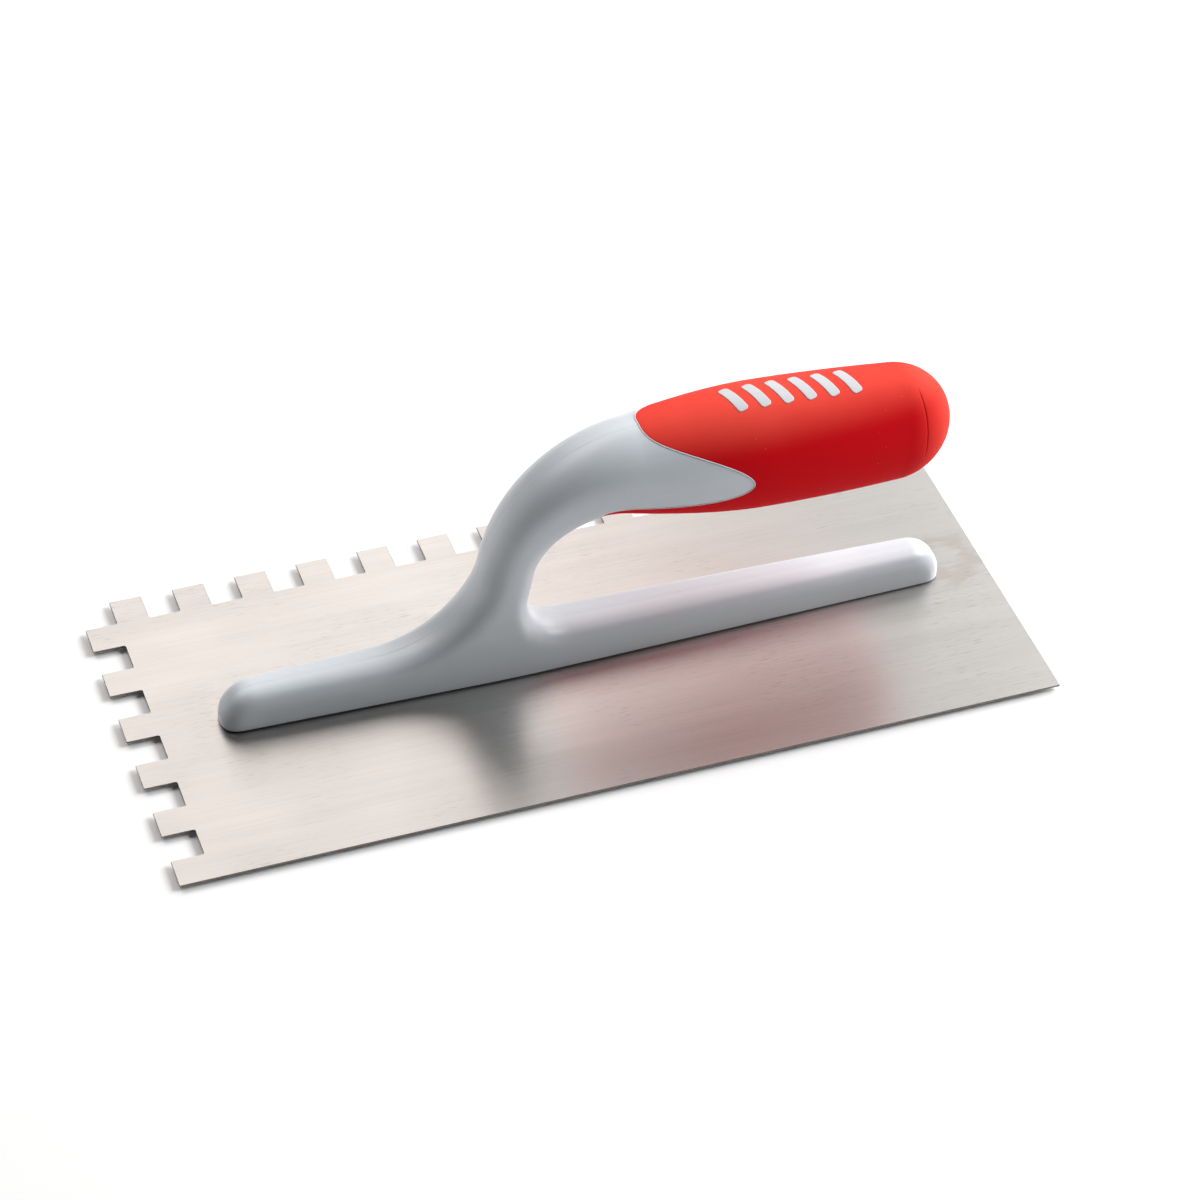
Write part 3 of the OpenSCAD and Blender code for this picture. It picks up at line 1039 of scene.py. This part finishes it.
def neighbour_links(faces: Array, count: int) -> tuple[Array, Array, Array]:
    """Which points are joined.

    Args:
        faces: Point numbers of each quad.
        count: Number of points.

    Returns:
        The two ends of each link, both ways round, and the links at each point.
    """
    ends = np.concatenate([faces[:, [0, 1]], faces[:, [1, 2]], faces[:, [2, 3]], faces[:, [3, 0]]])
    ends = np.unique(np.concatenate([ends, ends[:, ::-1]]), axis=0)
    return ends[:, 0], ends[:, 1], np.maximum(np.bincount(ends[:, 0], minlength=count), 1)


def relax(points: Array, links: tuple[Array, Array, Array]) -> Array:
    """Moves each point half-way to the middle of its neighbours.

    Args:
        points: The points.
        links: What neighbour_links returns.

    Returns:
        The moved points.
    """
    here, there, degree = links
    total = np.stack([np.bincount(here, points[there, i], len(points)) for i in range(3)], 1)
    return 0.5 * points + 0.5 * total / degree[:, None]


def settle(shape: Callable[[Array, Array, Array], Array], points: Array, step: float) -> Array:
    """Moves points straight onto the surface.

    Args:
        shape: The implicit shape.
        points: The points.
        step: The most that a point may move.

    Returns:
        The moved points.
    """
    probe, least_slope, least_move = 0.02, 0.05, 1e-9
    value = shape(*points.T)
    slope = np.stack([(shape(*(points + probe * unit).T) - shape(*(points - probe * unit).T)) / (2 * probe)
                      for unit in np.eye(3)], 1)
    move = value[:, None] * slope / np.maximum((slope ** 2).sum(1), least_slope)[:, None]
    length = np.linalg.norm(move, axis=1, keepdims=True)
    return points - move * np.minimum(1, step / np.maximum(length, least_move))


@dataclass
class SoftGrip:
    """Red over-moulded skin with its rolled front edge and the moulding seam near its rear."""

    line: HandleLine
    around: int = 240
    coarser: int = 3
    proud: float = 0.10
    lip: float = 0.5
    tuck: float = 0.25
    clear: float = 0.01
    clear_deep: float = 0.2
    seam_s: float = 140.4
    seam_bow: float = 2.9
    seam_depth: float = 0.28
    seam_half: float = 0.22
    seam_round: float = 0.8
    seam_rows: tuple[float, ...] = (-1.5, -0.9, -0.45, 0.0, 0.45, 0.9, 1.5, 4.0)
    seam_angles: tuple[float, float] = (20.0, 86.0)
    seam_fades: tuple[float, float] = (14.0, 16.0)
    lip_rows: int = 5
    body_rows: int = 70
    dome_rows: int = 22
    inner_rows: int = 26
    inner_crowding: float = 1.5
    inner_dome_rows: int = 10

    def seam_at(self, angle: Array) -> Array:
        """Where the seam crosses each angle."""
        return self.seam_s + self.seam_bow * np.abs(np.sin(np.radians(angle)))

    def seam_fade(self, angle: Array) -> Array:
        """How deep the seam is at each angle, from 0 to 1."""
        a = np.abs((angle + 180) % 360 - 180)
        rise, fall = (smooth((a - start) / fade) for start, fade in zip(self.seam_angles, self.seam_fades))
        return rise * (1 - fall)

    def outer_rows(self, angle: Array) -> list[Array]:
        """Rows of points from the front edge to the pole.

        Args:
            angle: The angles of a row's points, in degrees.

        Returns:
            The rows.
        """
        line, edge, seam = self.line, self.line.edge(angle), self.seam_at(angle)
        around_seam, dome_l = self.seam_rows[-1] * self.seam_half, line.dome_l + self.proud
        rows = []
        for turn in np.linspace(0, math.pi / 2, self.lip_rows):
            s = edge + self.lip * (1 - math.cos(turn))
            rows.append(line.surface(s, angle, (self.proud + self.tuck) * math.sin(turn) - self.tuck))
        start, stop = edge + self.lip, seam - around_seam
        for share in np.linspace(0, 1, self.body_rows)[1:]:
            rows.append(line.surface(blend(start, stop, share), angle, self.proud))
        for place in self.seam_rows:
            dip = self.seam_depth * self.seam_fade(angle) * max(0.0, 1 - abs(place)) ** self.seam_round
            rows.append(line.surface(seam + place * self.seam_half, angle, self.proud - dip))
        turn_from = np.arcsin((seam + around_seam - line.dome_s) / dome_l)
        for share in np.linspace(0, 1, self.dome_rows + 1)[1:-1]:
            s = line.dome_s + dome_l * np.sin(blend(turn_from, math.pi / 2, share))
            rows.append(line.surface(s, angle, self.proud))
        return rows

    def inner_rows_of(self, angle: Array) -> list[Array]:
        """Rows of the skin's inside, from the front edge to the pole.

        Args:
            angle: The angles of a row's points, in degrees.

        Returns:
            The rows.
        """
        line, edge = self.line, self.line.edge(angle)
        rows = []
        for share in np.linspace(0, 1, self.inner_rows)[1:]:
            s = blend(edge, line.dome_s, share ** self.inner_crowding)
            gap = self.clear + self.clear_deep * smooth(s - edge)
            rows.append(line.surface(s, angle, -line.sunk(s - edge) - gap))
        reach = line.dome_l - line.skin_t
        for turn in np.linspace(0, math.pi / 2, self.inner_dome_rows)[1:-1]:
            rows.append(line.surface(line.dome_s + reach * math.sin(turn), angle, -line.skin_t))
        return rows

    def build(self) -> bpy.types.Object:
        """Makes the skin as one closed shell."""
        line = self.line
        count = self.around // 1
        angle = spread_angles(count, line)
        rows = self.inner_rows_of(angle)[::-1] + self.outer_rows(angle)
        faces = ring_faces(len(rows), count)
        inner_pole = line.surface(line.end_s - line.skin_t, 0.0, -line.skin_t)
        outer_pole = line.surface(line.end_s + self.proud, 0.0, self.proud)
        points = np.vstack([*rows, inner_pole, outer_pole])
        last = (len(rows) - 1) * count
        for j in range(count):
            k = (j + 1) % count
            faces.append((len(points) - 2, j, k))
            faces.append((len(points) - 1, last + k, last + j))
        thing = Piece("soft_grip", "red_grip", Finish.RED).build(points, faces)
        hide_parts("grip_skin")
        return thing


def spread_angles(count: int, line: HandleLine, around: float = 0.32, along: float = 0.55,
                  samples: int = 7201) -> Array:
    """Angles that crowd together where the skin's edge runs nearly along the grip.

    Args:
        count: How many angles.
        line: The handle's line.
        around: What a degree round the grip counts for.
        along: What a millimetre along it counts for.
        samples: How many angles the edge is measured at.

    Returns:
        Angles in degrees, from 0 up to 360.
    """
    fine = np.linspace(0, 360, samples)
    return evenly(np.hypot(np.diff(fine) * around, np.diff(line.edge(fine)) * along), fine, count)


@dataclass
class EdgeBead:
    """Fine pale bead of hard plastic that frames the soft skin."""

    line: HandleLine
    radius: float = 0.18
    spacing: float = 0.7
    lift: float = 0.02
    probe: float = 0.5
    sides: int = 8
    samples: int = 14401

    def build(self) -> bpy.types.Object:
        """Sweeps the bead along the skin's front edge."""
        fine = np.linspace(0, 360, self.samples)
        path = self.line.surface(self.line.edge(fine), fine)
        run = np.linalg.norm(np.diff(path, axis=0), axis=1)
        count = int(run.sum() / self.spacing)
        where = evenly(run, fine, count)
        s = self.line.edge(where)
        middle = self.line.surface(s, where, self.lift)
        outward = self.line.surface(s, where, self.probe) - self.line.surface(s, where, -self.probe)
        outward /= np.linalg.norm(outward, axis=1, keepdims=True)
        ahead = np.roll(middle, -1, 0) - np.roll(middle, 1, 0)
        ahead /= np.linalg.norm(ahead, axis=1, keepdims=True)
        across = np.cross(ahead, outward)
        turns = np.linspace(0, 2 * math.pi, self.sides, endpoint=False)
        rings = (middle[:, None] + self.radius * (np.cos(turns)[None, :, None] * outward[:, None]
                                                  + np.sin(turns)[None, :, None] * across[:, None]))
        faces = ring_faces(count, self.sides, closed=True)
        return Piece("edge_bead", "grey_plastic", Finish.PALE_RIM).build(rings.reshape(-1, 3), faces)


@dataclass
class RaisedPads:
    """Plain slanted pads of hard plastic that stand through the skin along its top."""

    line: HandleLine
    count: int = 6
    pitch: float = 7.4
    length: float = 11.0
    width: float = 3.6
    slant: float = 18.0
    rise: float = 0.3
    start: float = 31.0
    corner: float = 1.1
    round_over: float = 0.18
    depth: float = 1.2
    ridge_half: float = 0.15
    side_points: int = 26
    over_rows: int = 5
    top_rows: int = 4

    def outline(self, inset: float) -> Array:
        """Rounded bar seen from above, down one long side and back up the other.

        Args:
            inset: How far in from the bar's side.

        Returns:
            Points along and across the grip.
        """
        corner = max(self.corner - inset, 0.1)
        reach_x, reach_y = self.width / 2 - inset - corner, self.length / 2 - inset - corner
        across = (reach_y + corner) * np.sin(np.linspace(-math.pi / 2, math.pi / 2, self.side_points))
        past = np.clip((np.abs(across) - reach_y) / corner, 0, 1)
        along = reach_x + corner * half_round(past)
        points = np.stack([np.r_[along, -along[::-1]], np.r_[across, across[::-1]]], 1)
        turn = math.radians(self.slant)
        return points @ np.array([[math.cos(turn), math.sin(turn)], [-math.sin(turn), math.cos(turn)]])

    def ring(self, middle_s: float, inset: float, lift: float) -> Array:
        """One level of a pad, laid on the grip's surface.

        Args:
            middle_s: Where the pad's middle is along the centreline.
            inset: How far in from the pad's side.
            lift: How far out from the grip's surface.

        Returns:
            The ring's points.
        """
        plan = self.outline(inset)
        s = middle_s + plan[:, 0]
        angle = -np.degrees(np.arcsin(np.clip(plan[:, 1] / self.line.half_width(s), -1, 1)))
        return self.line.surface(s, angle, lift)

    def build(self) -> list[bpy.types.Object]:
        """Makes each pad as a closed solid with a rounded top edge."""
        made = []
        for i in range(self.count):
            middle = self.line.bend_l + self.start + i * self.pitch
            rings = [self.ring(middle, 0, -self.depth)]
            for turn in np.linspace(0, math.pi / 2, self.over_rows):
                inset = self.round_over * (1 - math.cos(turn))
                rings.append(self.ring(middle, inset, self.rise - self.round_over * (1 - math.sin(turn))))
            for inset in np.linspace(self.round_over, self.width / 2 - self.ridge_half, self.top_rows)[1:]:
                rings.append(self.ring(middle, inset, self.rise))
            around = 2 * self.side_points
            faces = ring_faces(len(rings), around)
            points = np.concatenate(rings)
            for base in (0, (len(rings) - 1) * around):
                last = base + around - 1
                faces.extend((base + j, base + j + 1, last - j - 1, last - j)
                             for j in range(self.side_points - 1))
            made.append(Piece(f"raised_pad_{i + 1}", "grey_plastic", Finish.PADS).build(points, faces))
        return made


@dataclass
class Blade:
    """Stamped sheet with square notches, softened edges and slightly rounded notch roots."""

    length: float = 280.0
    width: float = 120.0
    thickness: float = 0.7
    notch: float = 10.0
    tooth: float = 10.0
    root_r: float = 0.5
    tip_r: float = 0.25
    bevel: float = 0.09
    bevel_steps: int = 2
    corner_steps: int = 4
    grain_radius: float = 40000.0

    def corners(self) -> list[tuple[float, float]]:
        """Sharp outline corners, anticlockwise from the near right corner."""
        half_l, half_w = self.length / 2, self.width / 2
        long_count = round(self.length / (self.notch + self.tooth))
        short_count = round(self.width / (self.notch + self.tooth))
        long_pitch, short_pitch = self.length / long_count, self.width / short_count
        points = [(half_l, -half_w), (half_l, half_w)]
        for k in range(1, long_count):
            x = half_l - k * long_pitch
            points += [(x + self.notch, half_w), (x + self.notch, half_w - self.notch),
                       (x, half_w - self.notch), (x, half_w)]
        points += [(-half_l + self.notch, half_w), (-half_l + self.notch, half_w - self.notch),
                   (-half_l, half_w - self.notch)]
        for k in range(short_count - 1, 0, -1):
            y = -half_w + k * short_pitch
            points += [(-half_l, y), (-half_l + self.notch, y),
                       (-half_l + self.notch, y - self.notch), (-half_l, y - self.notch)]
        return points + [(-half_l, -half_w)]

    def outline(self) -> list[tuple[float, float]]:
        """The outline with its corners rounded: roots more than tips."""
        corners = self.corners()
        rounded = []
        for i, here in enumerate(corners):
            before, after = Vector(corners[i - 1]), Vector(corners[(i + 1) % len(corners)])
            at = Vector(here)
            inward, outward = (before - at).normalized(), (after - at).normalized()
            concave = inward.cross(outward) > 0
            radius = self.root_r if concave else self.tip_r
            centre = at + radius * (inward + outward)
            for j in range(self.corner_steps + 1):
                turn = math.pi / 2 * j / self.corner_steps
                place = centre - radius * (outward * math.cos(turn) + inward * math.sin(turn))
                rounded.append((place.x, place.y))
        return rounded

    def brush_along_x(self, mesh: bpy.types.Mesh) -> None:
        """Lays the brushing along X, by a texture space whose middle is far off along the sheet.

        Args:
            mesh: The sheet's mesh.
        """
        mesh.use_auto_texspace = False
        mesh.texspace_location = (-self.grain_radius * MM, 0.0, 0.0)
        mesh.texspace_size = (1.0, 1.0, 1.0)

    def build(self) -> bpy.types.Object:
        """Makes the sheet with bevelled rims and a separate finish on its cut edge."""
        outline = self.outline()
        count = len(outline)
        points = [(x, y, 0.0) for x, y in outline] + [(x, y, self.thickness) for x, y in outline]
        faces = [tuple(range(count))[::-1], tuple(range(count, 2 * count))]
        faces += [(j, (j + 1) % count, count + (j + 1) % count, count + j) for j in range(count)]
        thing = Piece("blade_sheet", "blade_steel", Finish.BLADE).build(np.array(points), faces, flat=True)
        thing.data.materials.append(Finish.CUT_EDGE.material())
        with reshaping(thing.data) as shaper:
            for face in shaper.faces:
                face.material_index = 0 if abs(face.normal.z) > 0.5 else 1
            rims = [e for e in shaper.edges if {f.material_index for f in e.link_faces} == {0, 1}]
            bmesh.ops.bevel(shaper, geom=rims, offset=self.bevel * MM, segments=self.bevel_steps,
                            affect="EDGES", material=1)
            for face in shaper.faces:
                face.smooth = face.material_index == 1
        self.brush_along_x(thing.data)
        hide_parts("blade")
        return thing


# ---------------------------------------------------------------- studio


class Side(Enum):
    """Each light's place and size in metres, power in watts and tint; all look at the origin."""

    MAIN = ((0.50, 1.35, 1.10), (2.6, 1.7), 15.0, (1.0, 0.985, 0.97))
    WARM = ((0.02, 0.95, 1.20), (1.0, 0.9), 3.9, (1.0, 0.90, 0.86))
    BACK_HIGH = ((-0.70, 0.80, 1.30), (0.9, 0.9), 9.4, (1.0, 0.99, 0.98))
    HIGH_RIGHT = ((1.25, -0.20, 1.10), (0.9, 0.9), 26.5, (0.975, 0.995, 1.0))
    BACK_RIGHT = ((1.45, 0.50, 0.70), (0.9, 0.9), 14.0, (0.985, 0.995, 1.0))


def stand(name: str, data: bpy.types.ID, place: Vector, away: Vector, roll: float = 0.0) -> bpy.types.Object:
    """Adds a camera or a light that looks back along a direction.

    Args:
        name: The object's name.
        data: Its camera or light.
        place: Where it stands, in metres.
        away: The direction behind it.
        roll: Its turn about that direction, in degrees.

    Returns:
        The object.
    """
    thing = bpy.data.objects.new(name, data)
    thing.matrix_world = (Matrix.Translation(place) @ away.to_track_quat("Z", "Y").to_matrix().to_4x4()
                          @ Matrix.Rotation(math.radians(roll), 4, "Z"))
    bpy.context.scene.collection.objects.link(thing)
    return thing


@dataclass
class Studio:
    """Pale floor, soft panels of light and the camera, aimed and placed in millimetres."""

    aim: tuple[float, float, float] = (4.6, -11.5, 30.0)
    distance: float = 1101.6
    azimuth: float = -22.77
    elevation: float = 43.63
    roll: float = 4.12
    lens: float = 109.5
    floor_drop: float = 1.4
    floor_size: float = 12000.0
    room: float = 0.02

    def camera(self) -> None:
        """Places the camera on its own bearing, with its slight roll."""
        a, e = math.radians(self.azimuth), math.radians(self.elevation)
        away = Vector((math.sin(a) * math.cos(e), -math.cos(a) * math.cos(e), math.sin(e)))
        data = bpy.data.cameras.new("camera")
        data.lens = self.lens
        place = Vector(self.aim) * MM + away * self.distance * MM
        bpy.context.scene.camera = stand("camera", data, place, away, self.roll)

    def light(self, side: Side) -> None:
        """Adds one soft panel.

        Args:
            side: Which panel.
        """
        place, size, power, tint = side.value
        data = bpy.data.lights.new(side.name.lower(), "AREA")
        data.shape = "RECTANGLE"
        data.size, data.size_y = size
        data.energy = power
        data.color = tint
        stand(side.name.lower(), data, Vector(place), Vector(place))

    def floor(self) -> None:
        """Lays the floor just under the blade."""
        bpy.ops.mesh.primitive_plane_add(size=self.floor_size * MM, location=(0, 0, -self.floor_drop * MM))
        plane = bpy.context.object
        plane.name = "floor"
        plane.data.materials.append(Finish.FLOOR.material())

    def build(self) -> None:
        """Sets the whole studio."""
        scene = bpy.context.scene
        scene.view_settings.view_transform = "Standard"
        world = bpy.data.worlds.new("room")
        world.use_nodes = True
        world.node_tree.nodes["Background"].inputs["Color"].default_value = (self.room,) * 3 + (1.0,)
        scene.world = world
        self.floor()
        self.camera()
        for side in Side:
            self.light(side)


# ---------------------------------------------------------------- the tool


@dataclass
class Trowel:
    """The whole tool: its own meshes, and the hidden pieces that stay as packed."""

    line: HandleLine = field(default_factory=HandleLine)

    def hidden_pieces(self) -> None:
        """Dresses the studs and the plug, which no outside view shows."""
        for name, finish in (("weld_studs", Finish.STUD), ("end_plug", Finish.PLUG)):
            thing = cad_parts[name]
            thing.data.materials.clear()
            thing.data.materials.append(finish.material())
            log.info("%s: kept as packed", name)

    def build(self) -> None:
        """Builds every piece in order."""
        Blade().build()
        GreyMoulding(self.line).build()
        SoftGrip(self.line).build()
        EdgeBead(self.line).build()
        RaisedPads(self.line).build()
        self.hidden_pieces()


def main() -> None:
    """Sets the studio and builds the tool."""
    logging.basicConfig(level=logging.INFO, format="%(name)s %(message)s")
    Studio().build()
    Trowel().build()


if __name__ == "__main__":
    main()
